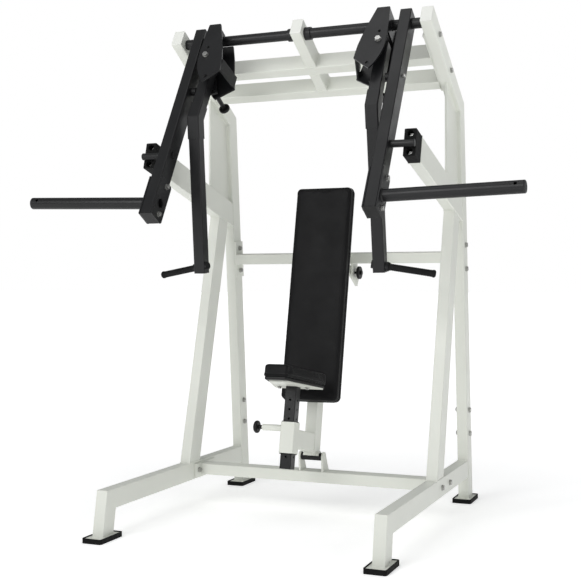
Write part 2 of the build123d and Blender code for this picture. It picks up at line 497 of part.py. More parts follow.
arm = bent_tube(ARM_WIDE, ARM_BEND - ARM_TOP, ARM_LOW, WALL, CORNER)
arm += bent_tube(ARM_WIDE + 2 * SLEEVE_OVER, SLEEVE_UP, SLEEVE_DOWN, SLEEVE_OVER, CORNER + 1)
arm += BEND_POINT * (Rot(X=-90) * (Pos(0, 0, ARM_LOW) * extrude(RectangleRounded(ARM_WIDE, ARM_WIDE, CORNER), 4)))
HUB_R, HUB_GAP = 17.0, 1.0
hub_ends = (INNER_FRONT + HUB_GAP, INNER_BACK - HUB_GAP)
arm += rod("Z", (PIVOT_X, PIVOT_U), HUB_R, *hub_ends)
sector = Circle(INDEX_R + 18) & make_face(Polyline(
    (0, 0), *[(-300 * sin(a), 300 * cos(a)) for a in INDEX_SPAN], close=True))
index_plate = Pos(PIVOT_X, PIVOT_U, ARM_V + ARM_WIDE / 2) * extrude(sector, INDEX_THICK)
for step in range(3):
    angle = math.degrees(math.asin((PIVOT_X - PULL_X) / INDEX_R)) - step * INDEX_STEP
    index_plate -= rod("Z", (PIVOT_X - INDEX_R * sin(angle), PIVOT_U + INDEX_R * cos(angle)), INDEX_HOLE, -40, 60)
arm += index_plate
arm -= rod("Z", (PIVOT_X, PIVOT_U), PIVOT_R + RUNNING, *hub_ends)

grip_root = BEND_POINT * Pos(0, ARM_LOW - GRIP_UP, 0)
grip_dir = Plane(origin=grip_root.position, z_dir=(
    cos(GRIP_SWEEP) * cos(GRIP_DROP),
    sin(GRIP_DROP) * cos(LEVER_TILT) - sin(GRIP_SWEEP) * sin(LEVER_TILT),
    sin(GRIP_DROP) * sin(LEVER_TILT) + sin(GRIP_SWEEP) * cos(LEVER_TILT)))
GRIP_BAR_R, FLANGE_R, INNER_BOSS = 11.0, 20.0, 36.0
grip_bar = Pos(0, 0, -INNER_BOSS) * extrude(Circle(GRIP_BAR_R), INNER_BOSS + GRIP_LONG + 18)
flange = Pos(0, 0, 20) * extrude(Circle(FLANGE_R), 14) + Pos(0, 0, -INNER_BOSS) * extrude(Circle(17), 16)
arm += grip_dir * (grip_bar + flange)
SPLAY = Pos(PIVOT_X, PIVOT_U, 0) * Rot(Z=-ARM_SPLAY) * Pos(-PIVOT_X, -PIVOT_U, 0)
save_pair("handle_arm", LEVER * (SPLAY * arm))

grip = extrude(Circle(GRIP_R), GRIP_LONG - 10)
grip = fillet(grip.edges().sort_by(Axis.Z)[-1], 6)
grip -= extrude(Circle(GRIP_BAR_R), GRIP_LONG - 16)
save_pair("hand_grip", LEVER * (SPLAY * (grip_dir * (Pos(0, 0, 34) * grip))))

# ---------------------------------------------------------------- seat and back unit
# In this frame the origin is on the tilt pivot, Z runs up the posts and Y runs to the back.
SEAT = Plane(origin=(0, PIVOT_Y, PIVOT_Z), x_dir=(1, 0, 0), z_dir=(0, sin(SEAT_LEAN), cos(SEAT_LEAN)))
save("seat_pivot_shaft", rod("X", (PIVOT_Y, PIVOT_Z), SEAT_PIVOT_R, -EAR_X1, EAR_X1))

post_mid_y = (BACK_POST_Y0 + BACK_POST_Y1) / 2
back_post = Pos(0, post_mid_y, 0) * tube(TUBE_WIDE, TUBE_DEEP, 2, BACK_POST_Z1)
SADDLE_HALF, SADDLE_R, BUSH_HALF, BUSH_R = 36.0, 25.0, 49.0, 17.0
saddle = rod("X", (0, 0), SADDLE_R, -SADDLE_HALF, SADDLE_HALF)
back_post += saddle - block(-SADDLE_HALF, SADDLE_HALF, -SADDLE_R, SADDLE_R, -SADDLE_R, 2)
back_post -= rod("X", (0, 0), BUSH_R, -SADDLE_HALF, SADDLE_HALF)
save("back_post", SEAT * back_post)
bush = rod("X", (0, 0), BUSH_R, -BUSH_HALF, BUSH_HALF)
save("pivot_bush", SEAT * (bush - rod("X", (0, 0), SEAT_PIVOT_R + RUNNING, -BUSH_HALF, BUSH_HALF)))

half_sleeve = SEAT_SLEEVE / 2
link_mid = (LINK_Z0 + LINK_Z1) / 2
link = Pos(0, 0, link_mid) * (
    Rot(X=-90) * tube(TUBE_WIDE, LINK_Z1 - LINK_Z0, SEAT_POST_Y + half_sleeve, BACK_POST_Y0))
save("seat_link", SEAT * link)

post_room = Rectangle(SEAT_TUBE + 2 * SLIDE_GAP, SEAT_TUBE + 2 * SLIDE_GAP)
sleeve = extrude(RectangleRounded(SEAT_SLEEVE, SEAT_SLEEVE, 5) - post_room, SEAT_SLEEVE_Z1 - SEAT_SLEEVE_Z0)
sleeve = Pos(0, SEAT_POST_Y, SEAT_SLEEVE_Z0) * sleeve
bush_lip = extrude(RectangleRounded(SEAT_SLEEVE - 5, SEAT_SLEEVE - 5, 4) - post_room, BUSH_LIP)
save("seat_sleeve_bushes", *[SEAT * (Pos(0, SEAT_POST_Y, z) * bush_lip)
                             for z in (SEAT_SLEEVE_Z0 - BUSH_LIP, SEAT_SLEEVE_Z1)])
POP_R, POP_OUT = 14.0, 126.0
sleeve += rod("X", (SEAT_POST_Y, SEAT_PIN_Z), POP_R, -POP_OUT, -half_sleeve)
sleeve -= rod("X", (SEAT_POST_Y, SEAT_PIN_Z), PIN_R + RUNNING, -POP_OUT, -SEAT_TUBE / 2)
save("seat_sleeve", SEAT * sleeve)

seat_post = Pos(0, SEAT_POST_Y, 0) * tube(SEAT_TUBE, SEAT_TUBE, SEAT_POST_Z0, SEAT_POST_Z1, WALL, 3)
for step in range(-3, 4):
    z = SEAT_PIN_Z + step * SEAT_PITCH
    seat_post -= rod("X", (SEAT_POST_Y, z), POST_HOLE_R, -60, 60)
    seat_post -= rod("Y", (0, z), POST_HOLE_R, SEAT_POST_Y - 60, SEAT_POST_Y + 60)
save("seat_post", SEAT * seat_post)


def trapezoid(front, rear, half_front, half_rear, corner):
    face = make_face(Polyline((-half_front, front), (half_front, front), (half_rear, rear), (-half_rear, rear),
                              close=True))
    return fillet(face.vertices(), corner)


PLATE_IN = 38.0
SEAT_BOLT_X = 65.0
seat_plate = Pos(0, 0, SEAT_POST_Z1) * extrude(
    trapezoid(SEAT_FRONT + PLATE_IN, SEAT_REAR - 10, 42, 113, 8), SEAT_PLATE_THICK)
seat_base = SEAT_POST_Z1 + SEAT_PLATE_THICK
for x in (-SEAT_BOLT_X, SEAT_BOLT_X):
    seat_plate -= rod("Z", (x, SEAT_POST_Y), 4.5, SEAT_POST_Z1, seat_base)
save("seat_plate", SEAT * seat_plate)
seat_pad = Pos(0, 0, seat_base) * extrude(
    trapezoid(SEAT_FRONT, SEAT_REAR, SEAT_FRONT_HALF, SEAT_REAR_HALF, 10), SEAT_PAD_THICK)
for x in (-SEAT_BOLT_X, SEAT_BOLT_X):
    seat_pad -= rod("Z", (x, SEAT_POST_Y), 4.5, seat_base, seat_base + 20)
seat_pad = fillet(seat_pad.faces().sort_by(Axis.Z)[-1].edges(), 6)
save("seat_pad", SEAT * seat_pad)
seat_bolts = [SEAT * (Pos(x, SEAT_POST_Y, SEAT_POST_Z1) * bolt(20, r=4.0, across=15.0, head=7.0, washer=11, nut=False))
              for x in (-SEAT_BOLT_X, SEAT_BOLT_X)]
save("seat_bolts", *seat_bolts)

pad_face = RectangleRounded(2 * BACK_PAD_HALF, BACK_PAD_Z1 - BACK_PAD_Z0, 26)
back_pad = Rot(X=90) * extrude(pad_face, BACK_PAD_THICK)
back_pad = fillet(back_pad.faces().sort_by(Axis.Y)[0].edges(), 8)
save("back_pad", SEAT * (Pos(0, BACK_POST_Y0, (BACK_PAD_Z0 + BACK_PAD_Z1) / 2) * back_pad))

pop_pin = rod("X", (SEAT_POST_Y, SEAT_PIN_Z), PIN_R, -POP_OUT - KNOB_GAP, -SEAT_TUBE / 2 - 12)
pop_pin += rod("X", (SEAT_POST_Y, SEAT_PIN_Z), PIN_NOSE_R, -SEAT_TUBE / 2 - 12, -SEAT_TUBE / 2 - 2)
pop_pin += rod("X", (SEAT_POST_Y, SEAT_PIN_Z), 9.0, -POP_OUT - KNOB_GAP, -POP_OUT - 4)
pop_pin += Pos(-POP_OUT - KNOB_GAP, SEAT_POST_Y, SEAT_PIN_Z) * (Rot(Y=-90) * knob(27, 18))
save("seat_pop_pin", SEAT * pop_pin)

# tilt quadrants: arcs about the seat pivot, guided between the cheeks under the middle crossbar
ring = Circle(QUADRANT_R + QUADRANT_DEEP / 2) - Circle(QUADRANT_R - QUADRANT_DEEP / 2)
swing = make_face(Polyline((0, 0), (0, 1200), (1200 * math.tan(math.radians(QUADRANT_SWING)), 1200), close=True))
arc = ring & swing
QUADRANT = Plane(origin=(QUADRANT_X0, 0, 0), x_dir=(0, 1, 0), z_dir=(1, 0, 0))
quadrant = QUADRANT * extrude(arc, QUADRANT_X1 - QUADRANT_X0)
quadrant -= block(0, 100, -100, BACK_POST_Y1, 800, 1000)
quadrant += block(TUBE_WIDE / 2, QUADRANT_X1, BACK_POST_Y0 + 8, BACK_POST_Y1 + 6, QUADRANT_R - 38, QUADRANT_R + 20)
for step in range(-2, 3):
    angle = QUADRANT_ANGLE - SEAT_LEAN + QUADRANT_PITCH * step
    quadrant -= rod("X", (QUADRANT_R * sin(angle), QUADRANT_R * cos(angle)), QUADRANT_HOLE_R, 20, 60)
save("tilt_quadrants", SEAT * quadrant, mirrored(SEAT * quadrant))

tilt_pin = rod("X", (quadrant_y, quadrant_z), PIN_R, CHEEK_X0, CHEEK_X1 + 22)
disc = rod("X", (quadrant_y, quadrant_z), 31, CHEEK_X1 + 16, CHEEK_X1 + 30)
disc = fillet(disc.edges(), 3)
save("tilt_pin", tilt_pin + disc + Pos(CHEEK_X1 + 30, quadrant_y, quadrant_z) * (Rot(Y=90) * hexagon(19, 8)))

# ---------------------------------------------------------------- frame bolts
frame_bolts = list(bumper_bolts) + [mirrored(b) for b in bumper_bolts]
OUTER_X = SIDE_X + TUBE_WIDE / 2
for y in LOW_BOLTS_Y:
    frame_bolts += bolt_x(OUTER_X, y, (RAIL_Z0 + RAIL_Z1) / 2, TUBE_WIDE + PLATE)
for z in mid_bolts:
    frame_bolts += bolt_x(OUTER_X, meet(upright_mid, line((0, z), (1, 0)))[0], z, TUBE_WIDE + PLATE)
for z in spare_bolts:
    frame_bolts += bolt_x(OUTER_X, meet(upright_mid, line((0, z), (1, 0)))[0], z, TUBE_WIDE)
for d in HEAD_BOLTS_D:
    y = HEAD_Y + d * cos(HEAD_ANGLE) + TUBE_DEEP / 2 * sin(HEAD_ANGLE)
    z = HEAD_Z - d * sin(HEAD_ANGLE) + TUBE_DEEP / 2 * cos(HEAD_ANGLE)
    frame_bolts += bolt_x(OUTER_X, y, z, TUBE_WIDE + PLATE)
save("frame_bolts", *frame_bolts)

for name, shape in parts.items():
    export_step(shape, f"parts/{name}.step")
print(len(parts), "nodes")
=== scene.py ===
"""Chest press machine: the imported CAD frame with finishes, upholstery and fittings, in metres."""

import json
import math

import bpy
import numpy as np
from mathutils import Matrix, Vector


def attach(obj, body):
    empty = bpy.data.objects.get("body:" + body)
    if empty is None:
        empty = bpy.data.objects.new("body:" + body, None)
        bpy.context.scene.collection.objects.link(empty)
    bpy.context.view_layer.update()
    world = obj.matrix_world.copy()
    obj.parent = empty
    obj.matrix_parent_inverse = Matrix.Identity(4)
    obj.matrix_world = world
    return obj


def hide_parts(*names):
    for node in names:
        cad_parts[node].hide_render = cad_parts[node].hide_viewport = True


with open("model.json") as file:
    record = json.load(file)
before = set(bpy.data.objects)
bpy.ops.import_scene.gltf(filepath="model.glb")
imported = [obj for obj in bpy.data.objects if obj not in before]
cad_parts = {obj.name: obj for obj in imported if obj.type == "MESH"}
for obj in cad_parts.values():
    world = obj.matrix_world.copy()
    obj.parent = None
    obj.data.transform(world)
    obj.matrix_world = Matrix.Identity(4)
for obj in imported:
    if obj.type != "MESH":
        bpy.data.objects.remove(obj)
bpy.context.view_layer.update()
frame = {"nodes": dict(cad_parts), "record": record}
nodes = frame["nodes"]
record = frame["record"]


# ---------------------------------------------------------------- materials
def shader(name, rough, base, metal=0.0, coat=0.0, sheen=0.0, specular=0.5):
    """A new principled material with its constants set on the shader's own sockets."""
    mat = bpy.data.materials.new(name)
    mat.use_nodes = True
    tree = mat.node_tree
    bsdf = tree.nodes["Principled BSDF"]
    bsdf.inputs["Base Color"].default_value = (*base, 1)
    bsdf.inputs["Metallic"].default_value = metal
    bsdf.inputs["Roughness"].default_value = rough
    bsdf.inputs["Coat Weight"].default_value = coat
    bsdf.inputs["Coat Roughness"].default_value = 0.12
    bsdf.inputs["Specular IOR Level"].default_value = specular
    bsdf.inputs["Sheen Weight"].default_value = sheen
    return mat, tree, bsdf


def texture(tree, kind, scale):
    """A texture node in object space, with its scale in features per metre."""
    coords = tree.nodes.new("ShaderNodeTexCoord")
    tex = tree.nodes.new(kind)
    tex.inputs["Scale"].default_value = scale
    tree.links.new(coords.outputs["Object"], tex.inputs["Vector"])
    return tex


def noise(tree, scale, detail):
    """Noise value."""
    tex = texture(tree, "ShaderNodeTexNoise", scale)
    tex.inputs["Detail"].default_value = detail
    tex.inputs["Roughness"].default_value = 0.55
    return tex.outputs["Fac"]


def cells(tree, scale):
    """Distance to the nearest edge in a pattern of cells."""
    tex = texture(tree, "ShaderNodeTexVoronoi", scale)
    tex.feature = "DISTANCE_TO_EDGE"
    return tex.outputs["Distance"]


def ramp(tree, value, stops):
    """Colour ramp with (position, (r, g, b)) or (position, grey) stops."""
    node = tree.nodes.new("ShaderNodeValToRGB")
    while len(node.color_ramp.elements) < len(stops):
        node.color_ramp.elements.new(0.5)
    for element, (at, colour) in zip(node.color_ramp.elements, stops):
        element.position = at
        rgb = colour if isinstance(colour, tuple) else (colour, colour, colour)
        element.color = (*rgb, 1)
    tree.links.new(value, node.inputs["Fac"])
    return node.outputs["Color"]


def bump(tree, bsdf, layers, base_normal=None):
    """Chains (height, strength, distance in metres) layers into the shader's normal."""
    last = base_normal
    for height, strength, distance in layers:
        node = tree.nodes.new("ShaderNodeBump")
        node.inputs["Strength"].default_value = strength
        node.inputs["Distance"].default_value = distance
        tree.links.new(height, node.inputs["Height"])
        if last:
            tree.links.new(last, node.inputs["Normal"])
        last = node.outputs["Normal"]
    tree.links.new(last, bsdf.inputs["Normal"])


def soft_edges(tree, radius):
    """A normal that is rounded over sharp edges, as paint is."""
    bevel = tree.nodes.new("ShaderNodeBevel")
    bevel.samples = 6
    bevel.inputs["Radius"].default_value = radius
    return bevel.outputs["Normal"]


def powder_coat(name, base, dull, rough, coat, specular=0.5):
    """Powder coat: a faint orange-peel skin, slow tone drift and slightly duller patches."""
    mat, tree, bsdf = shader(name, rough, base, coat=coat, specular=specular)
    drift = ramp(tree, noise(tree, 2.6, 4), [(0.32, dull), (0.68, base)])
    tree.links.new(drift, bsdf.inputs["Base Color"])
    patch = ramp(tree, noise(tree, 9, 5), [(0.3, rough - 0.05), (0.75, rough + 0.09)])
    tree.links.new(patch, bsdf.inputs["Roughness"])
    bump(tree, bsdf, [(noise(tree, 420, 2), 0.16, 0.0006), (noise(tree, 60, 2), 0.05, 0.002)],
         soft_edges(tree, 0.0012))
    return mat


def zinc():
    """Bright zinc plate with a faint mottle."""
    mat, tree, bsdf = shader("zinc_plate", 0.3, (0.45, 0.45, 0.44), metal=1.0)
    tone = ramp(tree, noise(tree, 90, 4), [(0.3, (0.34, 0.34, 0.33)), (0.7, (0.56, 0.56, 0.54))])
    tree.links.new(tone, bsdf.inputs["Base Color"])
    tree.links.new(ramp(tree, noise(tree, 240, 3), [(0.3, 0.2), (0.7, 0.42)]), bsdf.inputs["Roughness"])
    bump(tree, bsdf, [(noise(tree, 700, 2), 0.1, 0.0004)])
    return mat


def rubber(name, base, rough):
    """Moulded rubber with a dusty bloom."""
    mat, tree, bsdf = shader(name, rough, base, specular=0.14)
    bloom = tuple(c * 1.6 + 0.002 for c in base)
    tree.links.new(ramp(tree, noise(tree, 22, 6), [(0.35, base), (0.8, bloom)]), bsdf.inputs["Base Color"])
    tree.links.new(ramp(tree, noise(tree, 70, 4), [(0.3, rough - 0.08), (0.7, rough + 0.1)]),
                   bsdf.inputs["Roughness"])
    bump(tree, bsdf, [(noise(tree, 900, 3), 0.25, 0.0005)])
    return mat


def vinyl():
    """Upholstery vinyl: fine leather grain, a soft gloss and slow creases of tone."""
    mat, tree, bsdf = shader("vinyl", 0.48, (0.006, 0.006, 0.0064), specular=0.12)
    tones = [(0.3, (0.0048, 0.0048, 0.0051)), (0.75, (0.0073, 0.0073, 0.0078))]
    tone = ramp(tree, noise(tree, 5, 5), tones)
    tree.links.new(tone, bsdf.inputs["Base Color"])
    tree.links.new(ramp(tree, noise(tree, 14, 5), [(0.3, 0.36), (0.75, 0.52)]), bsdf.inputs["Roughness"])
    grain = ramp(tree, cells(tree, 520), [(0.0, 0.0), (0.16, 1.0)])
    bump(tree, bsdf, [(noise(tree, 24, 3), 0.06, 0.006), (grain, 0.35, 0.00035)])
    return mat


def thread():
    """Sewing thread with a fine twist."""
    mat, tree, bsdf = shader("thread", 0.7, (0.03, 0.03, 0.032), sheen=0.4)
    bump(tree, bsdf, [(noise(tree, 1500, 2), 0.4, 0.0003)])
    return mat


WHITE = powder_coat("white_powder_coat", (0.735, 0.75, 0.69), (0.705, 0.72, 0.66), 0.42, 0.08, 0.4)
BLACK = powder_coat("black_powder_coat", (0.0085, 0.0087, 0.0094), (0.0068, 0.007, 0.0076), 0.36, 0.05, 0.28)
ZINC = zinc()
RUBBER = rubber("black_rubber", (0.004, 0.004, 0.004), 0.72)
GRIP = rubber("grip_rubber", (0.006, 0.006, 0.0063), 0.60)
PLASTIC = powder_coat("black_plastic", (0.008, 0.008, 0.0083), (0.006, 0.006, 0.0063), 0.40, 0.0, 0.25)
WHITE_PLASTIC = powder_coat("white_plastic", (0.74, 0.75, 0.71), (0.71, 0.72, 0.68), 0.5, 0.0)
VINYL = vinyl()
THREAD = thread()

FINISH = {"white_paint": WHITE, "black_paint": BLACK, "zinc": ZINC, "black_rubber": RUBBER,
          "grip_rubber": GRIP, "black_plastic": PLASTIC, "white_plastic": WHITE_PLASTIC, "vinyl": VINYL}
for part in record["subparts"]:
    obj = nodes[part["node"]]
    obj.data.materials.clear()
    obj.data.materials.append(FINISH[part["material_slot"]])


# ---------------------------------------------------------------- mesh helpers
def add_object(name, data):
    """An object of this mesh or curve, linked into the scene."""
    obj = bpy.data.objects.new(name, data)
    bpy.context.scene.collection.objects.link(obj)
    return obj


def new_mesh(name, verts, faces, material, smooth=True):
    """A mesh object of these faces, with one material."""
    mesh = bpy.data.meshes.new(name)
    mesh.from_pydata(verts, [], faces)
    mesh.update()
    for poly in mesh.polygons:
        poly.use_smooth = smooth
    mesh.materials.append(material)
    return add_object(name, mesh)


def vertex_rows(mesh):
    """The mesh's vertices, one row of x, y and z each."""
    flat = np.empty(len(mesh.vertices) * 3)
    mesh.vertices.foreach_get("co", flat)
    return flat.reshape(-1, 3)


def move_vertices(mesh, rows):
    """Puts the mesh's vertices at rows."""
    mesh.vertices.foreach_set("co", rows.ravel())
    mesh.update()


def new_curve(name, radius, resolution, material):
    """An empty curve with a round section."""
    curve = bpy.data.curves.new(name, "CURVE")
    curve.dimensions = "3D"
    curve.bevel_depth = radius
    curve.bevel_resolution = resolution
    curve.materials.append(material)
    return curve


def add_spline(curve, points, closed):
    """A straight-sided spline through points."""
    spline = curve.splines.new("POLY")
    spline.points.add(len(points) - 1)
    for point, co in zip(spline.points, points):
        point.co = (*co, 1)
    spline.use_cyclic_u = closed
    return spline


def circle(centre, axis, radius, count):
    """Points of a circle around axis, which is a unit vector."""
    side = axis.orthogonal().normalized()
    other = axis.cross(side)
    angles = [2 * math.pi * k / count for k in range(count)]
    return [Vector(centre) + (side * math.cos(a) + other * math.sin(a)) * radius for a in angles]


def skin(rings, count):
    """Faces of a closed body: a strip between each two rings of count points, and both ends."""
    faces = []
    for i in range(rings - 1):
        for k in range(count):
            a, b = i * count + k, i * count + (k + 1) % count
            faces.append((a, b, b + count, a + count))
    faces.append(tuple(reversed(range(count))))
    faces.append(tuple(range((rings - 1) * count, rings * count)))
    return faces


def lathe(name, start, axis, profile, material, segments):
    """Solid of revolution: profile is (distance along the axis, radius) from start."""
    axis = Vector(axis).normalized()
    verts = []
    for along, radius in profile:
        verts += circle(Vector(start) + axis * along, axis, radius, segments)
    return new_mesh(name, verts, skin(len(profile), segments), material)


# ---------------------------------------------------------------- reference frames, from the record's joints
joints = {joint["name"]: joint for joint in record["behaviour"]["joints"]}
MM = 0.001


def local_frame(origin, z_axis):
    """Matrix of a frame whose X is the machine's, with Z along z_axis."""
    x, z = Vector((1, 0, 0)), Vector(z_axis).normalized()
    y = z.cross(x)
    matrix = Matrix((x, y, z)).transposed().to_4x4()
    matrix.translation = Vector(origin)
    return matrix


SEAT = local_frame(joints["seat_unit_tilt"]["pos_m"], joints["seat_height"]["axis"])
SHAFT = Vector(joints["press_right"]["pos_m"])


# ---------------------------------------------------------------- upholstery
EDGE_STEPS = 4
VOXEL, PINNED, PRESSURE, CLOTH_FRAMES = 0.005, 0.004, 4.0, 20
CROWN_CAP, LOW_EDGE = 3 * MM, 2.5 * MM
WELT_R, THREAD_R, SEAM_PROUD = 0.0016, 0.0006, 0.0006
STITCH_UP, STITCH_STEP, STITCH_SHARE = 0.005, 0.004, 0.85


def inset_corners(corners, inset):
    """The convex polygon's corners moved inwards by inset; corners run counter-clockwise."""
    lines = []
    for (ax, ay), (bx, by) in zip(corners, corners[1:] + corners[:1]):
        size = math.hypot(bx - ax, by - ay)
        dx, dy = (bx - ax) / size, (by - ay) / size
        lines.append((ax - dy * inset, ay + dx * inset, dx, dy))
    moved = []
    for (px, py, pdx, pdy), (qx, qy, qdx, qdy) in zip(lines[-1:] + lines[:-1], lines):
        t = ((qx - px) * qdy - (qy - py) * qdx) / (pdx * qdy - pdy * qdx)
        moved.append((px + t * pdx, py + t * pdy))
    return moved


def round_outline(corners, radius, steps=10):
    """Points around a convex polygon with rounded corners."""
    points = []
    n = len(corners)
    for i in range(n):
        a, b, c = (Vector(corners[(i + k) % n]) for k in (-1, 0, 1))
        to_a, to_c = (a - b).normalized(), (c - b).normalized()
        half = to_a.angle(to_c) / 2
        centre = b + (to_a + to_c).normalized() * (radius / math.sin(half))
        start = b + to_a * (radius / math.tan(half)) - centre
        end = b + to_c * (radius / math.tan(half)) - centre
        turn = start.angle_signed(end)
        for k in range(steps + 1):
            angle = -turn * k / steps
            points.append(centre + Vector((start.x * math.cos(angle) - start.y * math.sin(angle),
                                           start.x * math.sin(angle) + start.y * math.cos(angle))))
    return points


def slab(name, corners, radius, low, high, edge, place, material, low_edge=None):
    """A slab with rounded corners and rounded rims, its outline in place's first two axes."""
    rings = []
    for level, size, way in ((low, low_edge or edge, 1), (high, edge, -1)):
        arc = [math.pi / 2 * k / EDGE_STEPS for k in range(EDGE_STEPS + 1)][::way]
        rings += [(size * (1 - math.sin(a)), level + way * size * (1 - math.cos(a))) for a in arc]
    verts = []
    for inset, level in rings:
        outline = round_outline(inset_corners(corners, inset), max(radius - inset, 0.001))
        verts += [place @ Vector((p.x, p.y, level)) for p in outline]
    return new_mesh(name, verts, skin(len(rings), len(verts) // len(rings)), material)


def fit(piece, place, low, high):
    """Stretches a piece a little so that its box along place's axes runs from low to high."""
    inverse, forward = np.array(place.inverted()), np.array(place)
    local = vertex_rows(piece.data) @ inverse[:3, :3].T + inverse[:3, 3]
    share = (local - local.min(axis=0)) / (local.max(axis=0) - local.min(axis=0))
    local = np.array(low) + share * (np.array(high) - np.array(low))
    move_vertices(piece.data, local @ forward[:3, :3].T + forward[:3, 3])


def apply_modifier(piece, kind, **settings):
    """Adds a modifier with these settings and applies it."""
    modifier = piece.modifiers.new(kind.lower(), kind)
    for name, value in settings.items():
        setattr(modifier, name, value)
    bpy.ops.object.modifier_apply(modifier=modifier.name)


def swell(piece, cap):
    """Runs the piece as cloth under air pressure and moves each vertex by cap at most."""
    cloth = piece.modifiers.new("cloth", "CLOTH")
    cloth.settings.quality = 4
    cloth.settings.mass = 0.3
    cloth.settings.tension_stiffness = 15
    cloth.settings.compression_stiffness = 15
    cloth.settings.shear_stiffness = 5
    cloth.settings.bending_stiffness = 6
    cloth.settings.use_pressure = True
    cloth.settings.uniform_pressure_force = PRESSURE
    cloth.settings.vertex_group_mass = "board"
    cloth.settings.effector_weights.gravity = 0
    cloth.collision_settings.use_collision = False
    start = vertex_rows(piece.data)
    scene = bpy.context.scene
    for step in range(1, CLOTH_FRAMES + 1):
        scene.frame_set(step)
    moved = vertex_rows(piece.evaluated_get(bpy.context.evaluated_depsgraph_get()).data)
    piece.modifiers.remove(cloth)
    scene.frame_set(1)
    shift = moved - start
    size = np.linalg.norm(shift, axis=1, keepdims=True)
    shift *= cap * np.tanh(size / cap) / np.maximum(size, 1e-9)
    move_vertices(piece.data, start + shift)


def inflate(piece, place, floor_level, cap):
    """Cloth-simulated cushion: air pressure crowns it, its underside stays on the board."""
    bpy.context.view_layer.objects.active = piece
    apply_modifier(piece, "REMESH", mode="VOXEL", voxel_size=VOXEL)
    to_local = np.array(place.inverted())
    level = vertex_rows(piece.data) @ to_local[2, :3] + to_local[2, 3]
    pinned = piece.vertex_groups.new(name="board")
    pinned.add([int(i) for i in np.nonzero(level < floor_level + PINNED)[0]], 1.0, "REPLACE")
    swell(piece, cap)
    apply_modifier(piece, "CORRECTIVE_SMOOTH", iterations=3, use_only_smooth=True)
    piece.vertex_groups.clear()
    apply_modifier(piece, "SUBSURF", levels=1, render_levels=1)
    for poly in piece.data.polygons:
        poly.use_smooth = True


def resample(points, step, closed=True):
    """Points every step metres or so along a polyline."""
    ring = [Vector(p) for p in points] + ([Vector(points[0])] if closed else [])
    lengths = [0.0]
    for a, b in zip(ring, ring[1:]):
        lengths.append(lengths[-1] + (b - a).length)
    count = max(4, round(lengths[-1] / step))
    result, i = [], 0
    for k in range(count if closed else count + 1):
        at = lengths[-1] * k / count
        while i < len(ring) - 2 and lengths[i + 1] < at:
            i += 1
        span = max(lengths[i + 1] - lengths[i], 1e-9)
        result.append(ring[i].lerp(ring[i + 1], (at - lengths[i]) / span))
    return result


def seam(name, cushion, corners, radius, level, place, body):
    """A lapped seam around a cushion's side, with a row of stitches above it."""
    outline = round_outline(corners, radius)
    centre = sum((Vector((*p, 0)) for p in outline), Vector()) / len(outline)
    rows = []
    for lift in (0.0, STITCH_UP):
        row = []
        for p in resample([place @ Vector((q.x, q.y, level + lift)) for q in outline], STITCH_STEP):
            outward = p - place @ Vector((centre.x, centre.y, level + lift))
            hit, spot, normal, _ = cushion.closest_point_on_mesh(p + outward.normalized() * 0.004)
            row.append(spot + normal * SEAM_PROUD if hit else p)
        rows.append(row)
    welt_curve = new_curve(name + "_welt", WELT_R, 3, VINYL)
    add_spline(welt_curve, rows[0], True)
    welt = add_object(name + "_welt", welt_curve)
    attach(welt, body)
    stitch_curve = new_curve(name + "_stitches", THREAD_R, 1, THREAD)
    row = rows[1]
    for k in range(0, len(row), 2):
        a, b = row[k], row[(k + 1) % len(row)]
        add_spline(stitch_curve, (a, a.lerp(b, STITCH_SHARE)), False)
    stitches = add_object(name + "_stitches", stitch_curve)
    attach(stitches, body)


def finish_piece(piece, body, slot_name, *stands_for):
    """Says which body the piece rides and the nodes it stands for; slot_name is not used."""
    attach(piece, body)
    if stands_for:
        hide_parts(*stands_for)


def rect(half, low, high):
    """Corners of a rectangle that is 2 * half wide."""
    return [(-half, low), (half, low), (half, high), (-half, high)]


# The back pad's outline runs in the seat frame's X and Z, and its thickness along -Y.
BACK = SEAT @ Matrix(((1, 0, 0, 0), (0, 0, -1, 0), (0, 1, 0, 0), (0, 0, 0, 1)))
BACK_HALF, BACK_LOW, BACK_HIGH, BACK_CORNER = 136 * MM, 237 * MM, 1228 * MM, 24 * MM
BACK_REAR, BACK_BOARD_FACE, BACK_FLAT, BACK_FRONT = 51 * MM, 62 * MM, 104 * MM, 109 * MM
back_corners = rect(BACK_HALF, BACK_LOW, BACK_HIGH)
back_board = slab("back_board", inset_corners(back_corners, 2 * MM), BACK_CORNER, BACK_REAR, BACK_BOARD_FACE,
                  2 * MM, BACK, PLASTIC)
finish_piece(back_board, "seat_unit", "black_plastic")
back_cushion = slab("back_cushion", inset_corners(back_corners, 3 * MM), BACK_CORNER, BACK_BOARD_FACE,
                    BACK_FLAT, 7 * MM, BACK, VINYL, low_edge=LOW_EDGE)
inflate(back_cushion, BACK, BACK_BOARD_FACE, CROWN_CAP)
fit(back_cushion, BACK, (-BACK_HALF, BACK_LOW, BACK_BOARD_FACE), (BACK_HALF, BACK_HIGH, BACK_FRONT))
finish_piece(back_cushion, "seat_unit", "vinyl", "back_pad")
seam("back", back_cushion, back_corners, 26 * MM, 72 * MM, BACK, "seat_unit")

